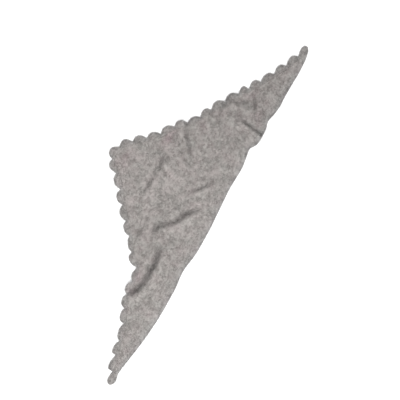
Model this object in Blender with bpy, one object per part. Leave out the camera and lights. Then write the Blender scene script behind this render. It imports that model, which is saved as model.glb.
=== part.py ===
# Triangle shawl in a brushed wool knit, lying flat with the soft creases that it has fallen into.
# The long edge is plain, the two short sides carry a scalloped edging, and each tip ends in a leaf.
# Metres, +Z up: +X runs along the long edge, +Y from it to the back point, and the cloth lies on z = 0.
# Plan sizes in the tables are in centimetres, counted from the left tip of a shawl 150 cm from tip to tip.

import math
from collections import namedtuple

import bmesh
import bpy
from mathutils import Vector
from mathutils.geometry import delaunay_2d_cdt, interpolate_bezier

# Driving dimensions, in metres
TIP_TO_TIP = 1.50
CM = TIP_TO_TIP / 150

# Sizes in centimetres
WALL = 0.3
SEAM_GAP = 0.03
SEAM_INSET = 1.0
SCALLOP_DOME = 0.35
DOME_RADIUS = 1.9

# Spacing of the mesh, in centimetres: along edges, over each kind of piece and along the creases, then
# how near its points may come to the rim and to each other
EDGE_STEP = 1.2
FOLD_STEP = 1.1
PANEL_STEP = 1.6
PANEL_RIM_ROOM = 0.45
PANEL_POINT_ROOM = 0.6
STRIP_STEP = 0.8
STRIP_RIM_ROOM = 0.3
STRIP_POINT_ROOM = 0.5
LOBE_STEP = 0.65
FLANK_SHARE = 0.4
SLOPE_STEP = 0.05
SAME_POINT = 1e-5

# The melange greys of the panel, its edging and the end leaves
PANEL_GREY = (0.34, 0.315, 0.30)
EDGING_GREY = (0.325, 0.30, 0.29)
LEAF_GREY = (0.31, 0.29, 0.28)
KNIT_ROUGHNESS = 0.92
SHARP_ANGLE = math.radians(50)

# One row for each scallop: the notch where it starts, counted from the left tip round to the right one,
# then two points that its round edge passes. It ends at the notch of the next row.
Scallop = namedtuple("Scallop", "notch_x notch_y rise_x rise_y fall_x fall_y")

LEFT_SCALLOPS = [
    Scallop(4.5, 1.7, 4.75, 3.8, 7.6, 4.3),
    Scallop(10.6, 3.85, 10.9, 5.65, 13.9, 6.1),
    Scallop(15.9, 5.35, 17.1, 6.85, 20.3, 7.75),
    Scallop(22.6, 7.25, 23.1, 9.35, 26.0, 10.35),
    Scallop(27.7, 9.95, 28.5, 11.7, 31.0, 12.65),
    Scallop(32.8, 11.95, 34.0, 13.45, 36.6, 13.65),
    Scallop(38.3, 12.5, 39.6, 13.8, 41.9, 14.1),
    Scallop(43.7, 13.7, 43.95, 16.4, 45.6, 18.5),
    Scallop(47.8, 18.35, 48.6, 20.2, 50.9, 22.0),
    Scallop(52.8, 22.35, 53.0, 24.3, 55.0, 26.35),
    Scallop(57.05, 26.4, 57.4, 28.6, 59.2, 30.5),
    Scallop(61.8, 30.6, 62.05, 33.0, 64.2, 34.65),
    Scallop(66.45, 34.3, 66.95, 36.9, 68.9, 38.7),
    Scallop(71.0, 38.8, 71.4, 41.6, 73.0, 43.1),
]
APEX_SCALLOP = [Scallop(74.9, 42.9, 76.1, 45.05, 78.7, 45.25)]
RIGHT_SCALLOPS = [
    Scallop(80.5, 42.9, 82.7, 43.2, 84.35, 41.9),
    Scallop(84.7, 39.5, 86.9, 39.45, 88.4, 37.8),
    Scallop(88.6, 35.5, 90.8, 35.3, 92.3, 33.7),
    Scallop(92.75, 31.6, 95.0, 31.95, 97.0, 30.7),
    Scallop(97.75, 28.5, 99.8, 28.75, 101.4, 27.1),
    Scallop(101.55, 24.9, 103.6, 24.75, 105.3, 23.5),
    Scallop(105.95, 21.7, 107.9, 22.25, 109.9, 21.45),
    Scallop(110.5, 19.55, 112.9, 20.0, 115.1, 18.85),
    Scallop(115.85, 16.5, 118.1, 16.9, 120.3, 15.7),
    Scallop(120.95, 13.55, 122.9, 13.85, 124.6, 13.3),
    Scallop(124.7, 11.0, 126.9, 11.45, 128.9, 10.65),
    Scallop(129.35, 8.4, 131.4, 8.7, 133.7, 7.65),
    Scallop(134.6, 5.6, 136.8, 5.95, 138.9, 5.25),
    Scallop(139.6, 3.2, 141.9, 3.55, 144.2, 3.0),
]
LAST_NOTCH = (145.05, 1.0)

# The plain long edge, from the left leaf to the right one
LONG_EDGE = [
    (4.5, -0.7), (7.5, -0.85), (15.0, -1.95), (22.0, -2.75), (31.0, -3.3), (43.0, -3.2), (51.5, -2.4),
    (60.0, -3.25), (70.0, -3.1), (80.0, -2.4), (88.0, -1.85), (97.0, -1.95), (102.0, -1.15),
    (105.2, -0.8), (107.5, -2.3), (112.0, -2.55), (115.0, -2.2), (117.7, -1.55), (120.2, -2.05),
    (124.4, -2.6), (130.0, -2.35), (140.0, -2.4), (145.05, -2.1),
]

# The leaf at each tip, from the long edge round to the last notch
LEFT_LEAF = [
    (4.5, -0.7), (3.4, -0.95), (2.2, -1.25), (0.7, -1.0), (-0.6, 0.2), (0.3, 1.65), (2.2, 1.95), (4.5, 1.7),
]
RIGHT_LEAF = [
    (145.05, -2.1), (147.0, -1.75), (149.1, -1.1), (150.05, 0.2), (149.2, 1.35), (147.4, 1.5), (145.05, 1.0),
]

# One row for each crease: its line on the cloth, then the swell on its left and on its right, each with
# its height, the distance from the crease to the crest and to the foot, then how much of its length
# fades in at the start and out at the end. A line that runs off the cloth doesn't fade there.
Fold = namedtuple(
    "Fold",
    "line left_height left_crest left_foot right_height right_crest right_foot fade_in fade_out",
)
FOLDS = {
    "waist_crease": Fold(
        [(30.8, 13.8), (33.2, 11.3), (36.0, 9.3), (38.5, 8.7), (41.5, 8.3), (47.0, 8.2), (52.0, 8.8),
         (55.3, 8.2), (57.2, 5.6)],
        1.8, 2.1, 6.0, 1.3, 2.0, 6.0, 0.15, 0.3),
    "shoulder_crease": Fold(
        [(57.0, 13.2), (60.0, 14.6), (62.2, 13.8), (64.5, 11.2), (67.0, 9.1), (70.5, 7.5), (73.3, 5.0),
         (76.0, 1.4)],
        1.4, 1.9, 5.2, 1.2, 1.8, 5.0, 0.16, 0.22),
    "middle_crease": Fold(
        [(77.5, 10.8), (80.0, 9.3), (82.9, 7.2), (85.0, 5.6), (88.5, 5.1)],
        1.0, 1.5, 4.2, 0.9, 1.5, 4.0, 0.25, 0.3),
    "back_crease": Fold(
        [(65.5, 25.9), (71.0, 25.6), (79.0, 25.5), (87.0, 25.8)],
        0.8, 1.8, 5.0, 0.85, 1.8, 5.0, 0.25, 0.2),
    "right_edge_crease": Fold(
        [(89.8, 15.8), (91.5, 17.6), (95.0, 20.8), (97.2, 23.4), (101.0, 24.6), (104.0, 25.6)],
        0.9, 1.5, 4.4, 0.9, 1.5, 4.8, 0.25, 0.0),
    "right_drop_crease": Fold(
        [(87.2, 9.5), (87.5, 13.5), (88.3, 17.4), (90.2, 21.6)],
        0.4, 1.2, 3.6, 0.35, 1.2, 3.0, 0.45, 0.3),
    "front_pinch": Fold(
        [(112.0, -5.0), (111.9, -1.6), (112.0, 1.2), (112.4, 4.2), (113.0, 7.0), (113.7, 10.4)],
        1.0, 1.3, 4.6, 1.1, 1.3, 4.6, 0.0, 0.45),
    "right_wave_crease": Fold(
        [(117.0, 17.4), (117.4, 13.2), (118.8, 10.2), (118.6, 7.2), (120.6, 3.8)],
        0.7, 1.4, 4.0, 0.7, 1.4, 3.8, 0.25, 0.35),
    "right_spur_crease": Fold(
        [(116.4, 3.9), (119.2, 5.0), (122.6, 7.2), (124.6, 8.6)],
        0.45, 1.0, 2.8, 0.5, 1.0, 2.8, 0.35, 0.35),
    "right_hollow_crease": Fold(
        [(107.4, 14.6), (110.2, 15.7), (113.0, 16.0), (115.8, 14.6), (118.0, 14.4)],
        0.5, 1.1, 3.0, 0.5, 1.1, 3.2, 0.3, 0.3),
    "left_faint_crease": Fold(
        [(51.0, 19.1), (55.5, 19.4), (60.5, 19.2), (64.4, 21.0)],
        0.5, 1.2, 3.6, 0.4, 1.2, 3.4, 0.3, 0.3),
    "curl_crease": Fold(
        [(63.0, 21.8), (65.8, 19.4), (67.4, 17.2), (66.6, 15.4)],
        0.4, 1.0, 3.0, 0.4, 1.0, 3.0, 0.35, 0.35),
    "edge_rise_crease": Fold(
        [(98.2, -1.0), (101.0, 0.7), (104.2, 2.6)],
        0.45, 1.0, 3.0, 0.4, 1.0, 2.8, 0.4, 0.4),
}


def smooth_runs(points, step):
    """One smooth curve through the given points, as one run of close points from each to the next."""
    knots = [Vector(point) for point in points]
    runs = []
    for index in range(len(knots) - 1):
        before = knots[max(index - 1, 0)]
        start, end = knots[index], knots[index + 1]
        after = knots[min(index + 2, len(knots) - 1)]
        leaving, arriving = (end - before) / 6, (after - start) / 6
        pieces = max(1, round((end - start).length / step))
        run = interpolate_bezier(start, start + leaving, end - arriving, end, pieces + 1)
        runs.append([point.to_2d() for point in run])
    return runs


def joined(runs):
    """Runs that follow each other as one line, without the doubles where they meet."""
    return [point for run in runs for point in run[:-1]] + [runs[-1][-1]]


def smooth_curve(points, step):
    """Points about a step apart on one smooth curve through the given points."""
    return joined(smooth_runs(points, step))


def scallop_edge(row, end_notch):
    """The round edge of one scallop, from its notch to the next."""
    knots = [(row.notch_x, row.notch_y), (row.rise_x, row.rise_y), (row.fall_x, row.fall_y), end_notch]
    return smooth_curve(knots, LOBE_STEP)


ALL_SCALLOPS = LEFT_SCALLOPS + APEX_SCALLOP + RIGHT_SCALLOPS
NOTCHES = [Vector((row.notch_x, row.notch_y)) for row in ALL_SCALLOPS] + [Vector(LAST_NOTCH)]
LOBES = [scallop_edge(row, end) for row, end in zip(ALL_SCALLOPS, NOTCHES[1:])]


def seam_knots():
    """The seam of the edging passes each notch at the same distance inside the cloth."""
    knots = []
    for index, notch in enumerate(NOTCHES):
        if index in (0, len(NOTCHES) - 1):
            knots.append(notch - Vector((0, SEAM_INSET)))
            continue
        along = (NOTCHES[index + 1] - NOTCHES[index - 1]).normalized()
        knots.append(notch + Vector((along.y, -along.x)) * SEAM_INSET)
    return knots


SEAM = smooth_runs(seam_knots(), EDGE_STEP)
DOMES = [(lobe[0] + lobe[-1] + lobe[len(lobe) // 2] * 2) / 4 for lobe in LOBES]
FOLD_LINES = {name: smooth_curve(fold.line, FOLD_STEP) for name, fold in FOLDS.items()}


def nearest_on_line(point, line):
    """Signed distance of a point from a line, left positive, and how far along the line it lies."""
    best = None
    length = 0.0
    for start, end in zip(line, line[1:]):
        run = end - start
        share = min(max((point - start).dot(run) / run.length_squared, 0.0), 1.0)
        offset = point - (start + run * share)
        if best is None or offset.length < best[0]:
            best = (offset.length, run.x * offset.y - run.y * offset.x, length + share * run.length)
        length += run.length
    distance, side, along = best
    return math.copysign(distance, side), along, length


def swell(distance, height, crest, foot):
    """The cross section of one side of a crease: steep up to the crest, and a long way down."""
    if distance >= foot:
        return 0.0
    if distance <= crest:
        return height * math.sin(math.pi / 2 * distance / crest)
    return height * (0.5 + 0.5 * math.cos(math.pi * (distance - crest) / (foot - crest)))


def fade(share, reach):
    """0 at the end of a crease, 1 once the given share of its length is passed."""
    if reach == 0.0 or share >= reach:
        return 1.0
    return 0.5 - 0.5 * math.cos(math.pi * share / reach)


def fold_height(point, fold, line):
    """How far one crease lifts the cloth at a point of the plan."""
    distance, along, length = nearest_on_line(point, line)
    strength = fade(along / length, fold.fade_in) * fade(1 - along / length, fold.fade_out)
    if distance > 0:
        return strength * swell(distance, fold.left_height, fold.left_crest, fold.left_foot)
    return strength * swell(-distance, fold.right_height, fold.right_crest, fold.right_foot)


def lift(point):
    """How far the cloth stands off the surface it lies on, at a point of the plan."""
    height = sum(fold_height(point, fold, FOLD_LINES[name]) for name, fold in FOLDS.items())
    for centre in DOMES:
        share = (point - centre).length / DOME_RADIUS
        if share < 1:
            height += SCALLOP_DOME * (1 - share * share) ** 2
    return height


def slope(point, step):
    """How steeply the cloth rises along a short step of the plan."""
    return (lift(point + step) - lift(point - step)) / (2 * step.length)


def wall_heights(point):
    """Bottom and top of the wall at a point of the plan, with the same thickness on a slope."""
    slope_x, slope_y = slope(point, Vector((SLOPE_STEP, 0))), slope(point, Vector((0, SLOPE_STEP)))
    half = WALL / 2 * math.sqrt(1 + slope_x * slope_x + slope_y * slope_y)
    middle = WALL / 2 + lift(point)
    return max(middle - half, 0.0), middle + half


def signed_area(outline):
    """Twice the area of a closed outline, positive when it runs anticlockwise."""
    return sum(a.x * b.y - b.x * a.y for a, b in zip(outline, outline[1:] + outline[:1]))


def drawn_in(outline, distance):
    """A closed outline moved inwards by the same distance all round, which opens the seams."""
    if signed_area(outline) < 0:
        outline = outline[::-1]
    moved = []
    for before, here, after in zip(outline[-1:] + outline[:-1], outline, outline[1:] + outline[:1]):
        incoming, outgoing = (here - before).normalized(), (after - here).normalized()
        inward = Vector((-incoming.y, incoming.x)) + Vector((-outgoing.y, outgoing.x))
        moved.append(here + inward * (distance / (1 + incoming.dot(outgoing))))
    return moved


def clear_inside(point, outline, clearance):
    """True for a point inside a closed outline and at least the clearance away from its edge."""
    inside = False
    for start, end in zip(outline, outline[1:] + outline[:1]):
        run = end - start
        share = min(max((point - start).dot(run) / run.length_squared, 0.0), 1.0)
        if (point - start - run * share).length < clearance:
            return False
        if (start.y > point.y) != (end.y > point.y):
            if point.x < start.x + run.x * (point.y - start.y) / run.y:
                inside = not inside
    return inside


def fold_rails():
    """Rows of points along every crease: on it, up its flanks, on its crests and out to its feet."""
    rails = []
    for name, fold in FOLDS.items():
        line = FOLD_LINES[name]
        offsets = [0.0]
        left, right = (1, fold.left_crest, fold.left_foot), (-1, fold.right_crest, fold.right_foot)
        for side, crest, foot in (left, right):
            flank = crest + FLANK_SHARE * (foot - crest)
            offsets += [side * crest / 2, side * crest, side * flank, side * foot]
        for index, point in enumerate(line):
            run = (line[min(index + 1, len(line) - 1)] - line[max(index - 1, 0)]).normalized()
            rails += [point + Vector((-run.y, run.x)) * offset for offset in offsets]
    return rails


def lattice(outline, step):
    """A lattice of equal triangles over an outline."""
    left, right = min(p.x for p in outline), max(p.x for p in outline)
    low, high = min(p.y for p in outline), max(p.y for p in outline)
    row_step = step * math.sqrt(0.75)
    points = []
    for row in range(int((high - low) / row_step) + 1):
        shift = step / 2 * (row % 2)
        for column in range(int((right - left) / step) + 1):
            points.append(Vector((left + shift + column * step, low + row * row_step)))
    return points


def thinned(points, outline, clearance, spacing):
    """The points that lie clear inside the outline and not too close to an earlier one."""
    kept = []
    cells = {}
    for point in points:
        cell = (math.floor(point.x / spacing), math.floor(point.y / spacing))
        around = [cells.get((cell[0] + i, cell[1] + j), []) for i in (-1, 0, 1) for j in (-1, 0, 1)]
        if any((point - other).length < spacing for group in around for other in group):
            continue
        if clear_inside(point, outline, clearance):
            cells.setdefault(cell, []).append(point)
            kept.append(point)
    return kept


def knit_material(name, grey):
    """A matt wool finish with a little sheen."""
    material = bpy.data.materials.new(name)
    material.use_nodes = True
    shader = material.node_tree.nodes["Principled BSDF"]
    shader.inputs["Base Color"].default_value = (*grey, 1.0)
    shader.inputs["Roughness"].default_value = KNIT_ROUGHNESS
    shader.inputs["Metallic"].default_value = 0.0
    material.diffuse_color = (*grey, 1.0)
    return material


def cloth_piece(name, outline, inner_points, grey):
    """One piece of the shawl: its flat outline meshed, given its wall and laid over the folds."""
    rim = drawn_in(outline, SEAM_GAP / 2)
    points = rim + inner_points
    loop = [(index, (index + 1) % len(rim)) for index in range(len(rim))]
    flat, _, faces, _, _, _ = delaunay_2d_cdt(points, loop, [list(range(len(rim)))], 1, SAME_POINT)

    sheet = bmesh.new()
    corners = [sheet.verts.new((point.x, point.y, 0.0)) for point in flat]
    for face in faces:
        sheet.faces.new([corners[index] for index in face])
    raised = bmesh.ops.extrude_face_region(sheet, geom=sheet.faces[:])
    upper = {item for item in raised["geom"] if isinstance(item, bmesh.types.BMVert)}
    for corner in sheet.verts:
        bottom, top = wall_heights(corner.co.to_2d())
        corner.co.z = top if corner in upper else bottom
    bmesh.ops.recalc_face_normals(sheet, faces=sheet.faces[:])
    bmesh.ops.translate(sheet, verts=sheet.verts[:], vec=(-MIDDLE.x, -MIDDLE.y, 0.0))
    bmesh.ops.scale(sheet, verts=sheet.verts[:], vec=(CM, CM, CM))

    mesh = bpy.data.meshes.new(name)
    sheet.to_mesh(mesh)
    sheet.free()
    mesh.shade_smooth()
    mesh.set_sharp_from_angle(angle=SHARP_ANGLE)
    mesh.materials.append(knit_material(name + "_knit", grey))
    piece = bpy.data.objects.new(name, mesh)
    bpy.context.scene.collection.objects.link(piece)
    return piece


def edging_outline(first, last):
    """The scallops from one notch to another, closed along the seam."""
    return [SEAM[first][0]] + joined(LOBES[first:last]) + joined(SEAM[first:last])[:0:-1]


def plan_middle():
    """The middle of the whole plan, which becomes the origin."""
    rim = joined(LOBES) + smooth_curve(LONG_EDGE, EDGE_STEP)
    rim += smooth_curve(LEFT_LEAF, STRIP_STEP) + smooth_curve(RIGHT_LEAF, STRIP_STEP)
    return Vector((
        (min(p.x for p in rim) + max(p.x for p in rim)) / 2,
        (min(p.y for p in rim) + max(p.y for p in rim)) / 2,
    ))


MIDDLE = plan_middle()


def body_panel():
    """The knitted triangle, from the long edge up to the seams of the edging."""
    outline = smooth_curve(LONG_EDGE, EDGE_STEP) + joined(SEAM)[::-1]
    points = fold_rails() + lattice(outline, PANEL_STEP)
    inner = thinned(points, outline, PANEL_RIM_ROOM, PANEL_POINT_ROOM)
    return cloth_piece("body_panel", outline, inner, PANEL_GREY)


def edging(name, first, last):
    """One run of scallops, with enough points inside for their domes."""
    outline = edging_outline(first, last)
    points = DOMES[first:last] + lattice(outline, STRIP_STEP)
    inner = thinned(points, outline, STRIP_RIM_ROOM, STRIP_POINT_ROOM)
    return cloth_piece(name, outline, inner, EDGING_GREY)


def end_leaf(name, edge):
    """The leaf at one tip, closed across the end of the panel."""
    outline = smooth_curve(edge, STRIP_STEP)
    inner = thinned(lattice(outline, STRIP_STEP), outline, STRIP_RIM_ROOM, STRIP_POINT_ROOM)
    return cloth_piece(name, outline, inner, LEAF_GREY)


def main():
    for old in list(bpy.data.objects):
        bpy.data.objects.remove(old, do_unlink=True)
    apex = len(LEFT_SCALLOPS)
    body_panel()
    edging("edging_left", 0, apex)
    edging("apex_scallop", apex, apex + 1)
    edging("edging_right", apex + 1, len(ALL_SCALLOPS))
    end_leaf("end_leaf_left", LEFT_LEAF)
    end_leaf("end_leaf_right", RIGHT_LEAF)


main()
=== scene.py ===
# Looks of a knitted triangle shawl that lies flat: a melange grey, brushed wool knit in soft creases,
# a scalloped edging with a corded rim, the stitches of its seam and a nap of short loose fibres.
# Metres, +Z up. Plan tables are in centimetres from the left tip, as the shawl's own cut is.

import math
from collections import namedtuple

import bmesh
import bpy
import numpy as np
from bpy.props import FloatProperty, FloatVectorProperty, IntProperty, PointerProperty
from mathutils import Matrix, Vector, noise
from mathutils.geometry import interpolate_bezier
from mathutils.kdtree import KDTree


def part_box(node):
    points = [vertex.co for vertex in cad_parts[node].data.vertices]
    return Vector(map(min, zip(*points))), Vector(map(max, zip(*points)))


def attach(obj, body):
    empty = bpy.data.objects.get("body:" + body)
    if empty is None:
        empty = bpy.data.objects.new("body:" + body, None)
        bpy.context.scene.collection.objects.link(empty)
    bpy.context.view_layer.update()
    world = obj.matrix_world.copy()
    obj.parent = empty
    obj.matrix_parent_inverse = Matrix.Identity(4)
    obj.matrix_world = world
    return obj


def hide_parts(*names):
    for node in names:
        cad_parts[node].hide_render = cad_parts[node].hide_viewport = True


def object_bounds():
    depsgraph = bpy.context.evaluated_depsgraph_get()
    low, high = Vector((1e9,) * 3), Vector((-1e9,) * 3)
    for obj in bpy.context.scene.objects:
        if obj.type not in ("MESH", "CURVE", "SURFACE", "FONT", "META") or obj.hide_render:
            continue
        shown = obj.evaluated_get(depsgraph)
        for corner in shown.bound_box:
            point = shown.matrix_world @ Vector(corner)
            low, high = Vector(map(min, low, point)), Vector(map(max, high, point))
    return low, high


bl_info = {
    "name": "Triangle shawl",
    "version": (1, 0, 0),
    "blender": (4, 5, 0),
    "location": "View3D > Sidebar > Shawl",
    "description": "Dresses the solids of a knitted triangle shawl",
    "category": "Object",
}

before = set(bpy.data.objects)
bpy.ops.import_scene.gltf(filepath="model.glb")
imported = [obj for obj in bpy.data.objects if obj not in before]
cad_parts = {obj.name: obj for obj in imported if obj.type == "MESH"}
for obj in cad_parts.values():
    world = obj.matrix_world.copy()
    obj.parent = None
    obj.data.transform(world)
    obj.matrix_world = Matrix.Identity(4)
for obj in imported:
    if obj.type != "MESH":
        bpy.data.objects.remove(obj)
CAD_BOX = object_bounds()

CM = 0.01
MM = 0.001
BODY = "root"

# How near the loose corners of a solid's triangles are joined
JOINED = 0.01 * MM

# The thickness of the cloth, which is the height of a leaf, since a leaf lies flat
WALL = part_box("end_leaf_left")[1][2] / CM

# The leftmost and the frontmost place of the cloth in the tables, which the frame ties to its own axes
LEFT_END = -0.583
FRONT_END = -3.325
MIDDLE = Vector((LEFT_END - CAD_BOX[0][0] / CM, FRONT_END - CAD_BOX[0][1] / CM))

# One row for each crease: its line, then the swell on its left and on its right, each with its height,
# the distance from the crease to the crest and to the foot, then how much of its length fades in at the
# start and out at the end. These are the creases of the solids, with their lines fitted more closely.
Fold = namedtuple(
    "Fold",
    "line left_height left_crest left_foot right_height right_crest right_foot fade_in fade_out",
)
MAIN_FOLDS = {
    "waist_crease": Fold(
        [(31.0, 12.3), (33.6, 10.5), (36.4, 9.2), (39.2, 8.6), (42.0, 8.3), (47.0, 8.2), (52.0, 8.8),
         (55.3, 8.4), (57.2, 5.8)],
        1.8, 2.1, 6.0, 1.3, 2.0, 6.0, 0.22, 0.3),
    "shoulder_crease": Fold(
        [(57.0, 13.2), (60.0, 14.6), (62.2, 13.8), (64.5, 11.2), (67.0, 9.1), (70.5, 7.6), (73.7, 5.1),
         (76.7, 1.4)],
        1.4, 1.9, 5.2, 1.2, 1.8, 5.0, 0.16, 0.22),
    "middle_crease": Fold(
        [(77.5, 10.8), (80.0, 9.3), (82.9, 7.2), (85.0, 5.6), (88.5, 5.1)],
        0.95, 1.5, 4.2, 0.85, 1.5, 4.0, 0.25, 0.42),
    "back_crease": Fold(
        [(65.5, 25.9), (71.0, 25.6), (79.0, 25.5), (87.0, 25.8)],
        0.8, 1.8, 5.0, 0.85, 1.8, 5.0, 0.38, 0.14),
    "right_edge_crease": Fold(
        [(89.8, 15.8), (91.5, 17.6), (95.0, 20.7), (97.6, 23.1), (100.8, 24.6), (104.0, 25.6)],
        0.8, 1.6, 4.6, 0.8, 1.6, 4.8, 0.25, 0.22),
    "right_drop_crease": Fold(
        [(87.2, 9.5), (87.5, 13.5), (88.3, 17.4), (90.2, 21.6)],
        0.4, 1.2, 3.6, 0.35, 1.2, 3.0, 0.45, 0.3),
    "front_pinch": Fold(
        [(112.0, -5.0), (111.9, -1.6), (112.0, 1.2), (112.4, 4.2), (113.0, 7.0), (113.7, 10.4)],
        1.0, 1.3, 4.6, 1.1, 1.3, 4.6, 0.0, 0.45),
    "right_wave_crease": Fold(
        [(117.0, 17.4), (117.4, 13.2), (118.8, 10.2), (118.6, 7.2), (120.6, 3.8)],
        0.55, 1.8, 4.0, 0.55, 1.8, 3.8, 0.35, 0.35),
    "right_spur_crease": Fold(
        [(116.4, 3.9), (119.2, 5.0), (122.6, 7.2), (124.6, 8.6)],
        0.45, 1.0, 2.8, 0.5, 1.0, 2.8, 0.35, 0.35),
    "right_hollow_crease": Fold(
        [(107.4, 14.6), (110.2, 15.7), (113.0, 16.0), (115.8, 14.6), (118.0, 14.4)],
        0.5, 1.1, 3.0, 0.5, 1.1, 3.2, 0.3, 0.3),
    "left_faint_crease": Fold(
        [(51.0, 19.1), (55.5, 19.4), (60.5, 19.2), (64.4, 21.0)],
        0.35, 1.5, 3.8, 0.3, 1.5, 3.6, 0.3, 0.4),
    "curl_crease": Fold(
        [(63.0, 21.8), (65.8, 19.4), (67.4, 17.2), (66.6, 15.4)],
        0.25, 1.1, 3.0, 0.25, 1.1, 3.0, 0.4, 0.4),
    "edge_rise_crease": Fold(
        [(98.2, -1.0), (101.0, 0.7), (104.2, 2.6)],
        0.45, 1.0, 3.0, 0.4, 1.0, 2.8, 0.4, 0.4),
}

# Small creases that only the knit's surface has: the (x, y) points of each line, one height for both sides
# and how far off the crests are. Each foot is SMALL_FOOT times as far off, and SMALL_FADE of the length
# fades at each end.
SMALL_FOOT = 3.0
SMALL_FADE = 0.45
SMALL_CREASES = [
    ([(19.5, 1.2), (23.5, 0.8), (27.0, 1.1)], 0.16, 0.7),
    ([(29.5, 6.0), (32.5, 5.0), (35.5, 5.2)], 0.18, 0.7),
    ([(31.5, 1.2), (34.0, 0.4), (37.0, 0.6)], 0.15, 0.7),
    ([(56.0, 7.4), (57.0, 5.0), (59.0, 3.2)], 0.25, 0.8),
    ([(49.5, 12.0), (49.2, 14.0), (50.0, 16.4)], 0.22, 0.8),
    ([(52.0, 1.6), (56.0, 2.4), (60.0, 1.8)], 0.14, 0.7),
    ([(56.6, 14.2), (58.6, 15.0), (60.8, 14.6)], 0.35, 1.0),
    ([(78.0, 20.4), (82.0, 20.0), (86.0, 20.6)], 0.16, 0.7),
    ([(72.0, 31.5), (76.5, 31.0), (80.5, 31.8)], 0.18, 0.8),
    ([(84.0, 31.0), (85.6, 28.6), (88.6, 27.0)], 0.2, 0.8),
    ([(87.6, 16.6), (89.4, 19.4), (91.4, 22.2)], 0.3, 1.0),
    ([(92.0, 5.6), (94.4, 4.4), (97.0, 4.4)], 0.18, 0.7),
    ([(96.0, 12.4), (99.0, 13.4), (102.6, 13.0)], 0.15, 0.7),
    ([(104.0, 8.6), (106.0, 10.8), (108.6, 12.0)], 0.2, 0.8),
    ([(112.6, 5.4), (112.0, 8.2), (113.6, 10.6)], 0.3, 1.0),
    ([(126.5, 5.4), (129.5, 4.2), (132.8, 4.0)], 0.2, 0.8),
    ([(133.0, 0.6), (136.0, 1.4), (139.4, 0.6)], 0.16, 0.7),
    ([(74.0, 36.4), (76.6, 37.6), (79.4, 37.0)], 0.14, 0.7),
]

# Painted shade laid in patches, and painted light where the figure is less than 0: the
# (x, y) points along the middle of each stretch, how much darker it is painted there, and its half width.
# END_SHADE is how much of that is left at a stretch's ends.
END_SHADE = 0.4
PAINTED_SHADES = [
    ([(32.4, 11.2), (35.0, 10.1), (38.2, 9.5)], 0.19, 1.2),
    ([(38.0, 9.4), (46.0, 8.8), (54.0, 9.5)], 0.15, 1.5),
    ([(52.0, 19.8), (55.4, 18.8), (59.0, 19.8)], 0.12, 1.4),
    ([(56.6, 14.4), (59.2, 15.4), (61.0, 14.6)], 0.1, 1.0),
    ([(87.8, 16.8), (89.4, 19.4), (91.4, 22.2)], 0.14, 1.0),
    ([(91.0, 16.8), (95.6, 21.0), (98.6, 24.2)], 0.08, 1.3),
    ([(98.0, 24.8), (95.0, 26.4), (91.6, 27.4)], 0.08, 2.0),
    ([(108.6, 15.0), (113.4, 15.8), (117.4, 13.6), (118.8, 9.4)], 0.13, 1.7),
    ([(112.0, 5.6), (112.4, 8.4), (114.4, 10.6)], 0.08, 1.2),
    ([(116.2, 4.0), (119.4, 5.2), (122.8, 7.4)], 0.09, 1.1),
    ([(102.6, 2.4), (100.6, 5.6), (101.8, 9.2)], 0.05, 2.2),
    ([(101.0, 24.7), (103.0, 24.3), (105.2, 22.9)], 0.22, 0.5),
    ([(115.6, 16.3), (117.6, 16.2), (119.8, 14.6)], 0.18, 0.5),
    ([(130.2, 8.2), (132.0, 7.9), (134.2, 6.4)], 0.18, 0.5),
    ([(5.2, 3.6), (7.0, 3.7), (9.4, 3.4)], 0.14, 0.5),
    ([(17.0, 5.8), (19.2, 6.8), (21.4, 6.9)], 0.14, 0.5),
    ([(39.6, 12.8), (41.4, 13.5), (43.6, 13.4)], 0.14, 0.5),
    ([(92.0, 15.0), (106.0, 11.6), (122.0, 6.0), (144.0, 1.0), (172.0, -4.0)], 0.1, 8.6),
    ([(-6.0, 1.0), (10.0, 2.2), (22.0, 4.4), (34.0, 7.0)], 0.045, 3.4),
    ([(50.0, 15.0), (54.0, 20.0), (58.0, 25.0)], 0.06, 3.4),
    ([(66.0, 12.4), (76.0, 15.0), (86.0, 20.4), (96.0, 14.0), (108.0, 12.6)], -0.045, 4.6),
]

# Where the wool is rosier: the middle of each patch, its half length and half width, and how much rosier
BLUSHES = [
    ((92.8, 28.2), (4.0, 2.4), 0.55),
    ((117.7, 2.8), (2.2, 2.2), 0.45),
    ((77.0, 38.4), (3.6, 2.6), 0.4),
    ((39.6, 11.4), (5.0, 2.0), 0.35),
    ((124.0, 8.6), (2.4, 2.0), 0.3),
    ((104.0, 19.6), (2.6, 2.0), 0.3),
    ((57.0, 2.6), (2.6, 2.2), 0.2),
]

# The height and radius of each scallop's dome, and the turn of the outline that marks a notch
SCALLOP_DOME = 0.3
DOME_RADIUS = 1.9
NOTCH_TURN = math.radians(35)

# How far in the edges are rounded, at a rim and at a seam, and the share of the wall left at the very edge
RIM_ROUND = 0.28
SEAM_ROUND = 0.12
RIM_FLOOR = 0.35

# The creases: how far they all lie from their lines, how round their bottoms are, how much they swell and
# sink along their length and over how many radians of a wave, and how far the plan wobbles round them
FOLD_SHIFT = (0.2, 0.3)
BOTTOM_ROUND = 0.45
UNEVEN = 0.14
UNEVEN_WAVE = 13
WOBBLE = 0.28

# The painted shade in the bottom of a crease: how wide and how dark it is, the height from which a crease is
# no darker and how fast a lower one loses its shade, and how much painted light a crest gets
HOLLOW_WIDTH = 0.76
HOLLOW_PAINTED_SHADE = 0.31
HOLLOW_FULL = 1.2
HOLLOW_POWER = 1.5
CREST_PAINTED_LIGHT = 0.09

# The painted shade in a line just inside a rim: how far in it lies, its half width, how dark and how uneven
# it is, then how much further in than they lie the panel, which has no cord, and the loose fibres are counted
RIM_LINE = 0.52
RIM_WIDTH = 0.38
RIM_PAINTED_SHADE = 0.14
RIM_UNEVEN = 1.5
BARE_RIM = 0.6
FIBRE_RIM = 0.3

# How much of its warm hue the wool loses at a rim, and how far in that reaches
PALE_RIM = 0.55
PALE_WIDTH = 1.3

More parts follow.
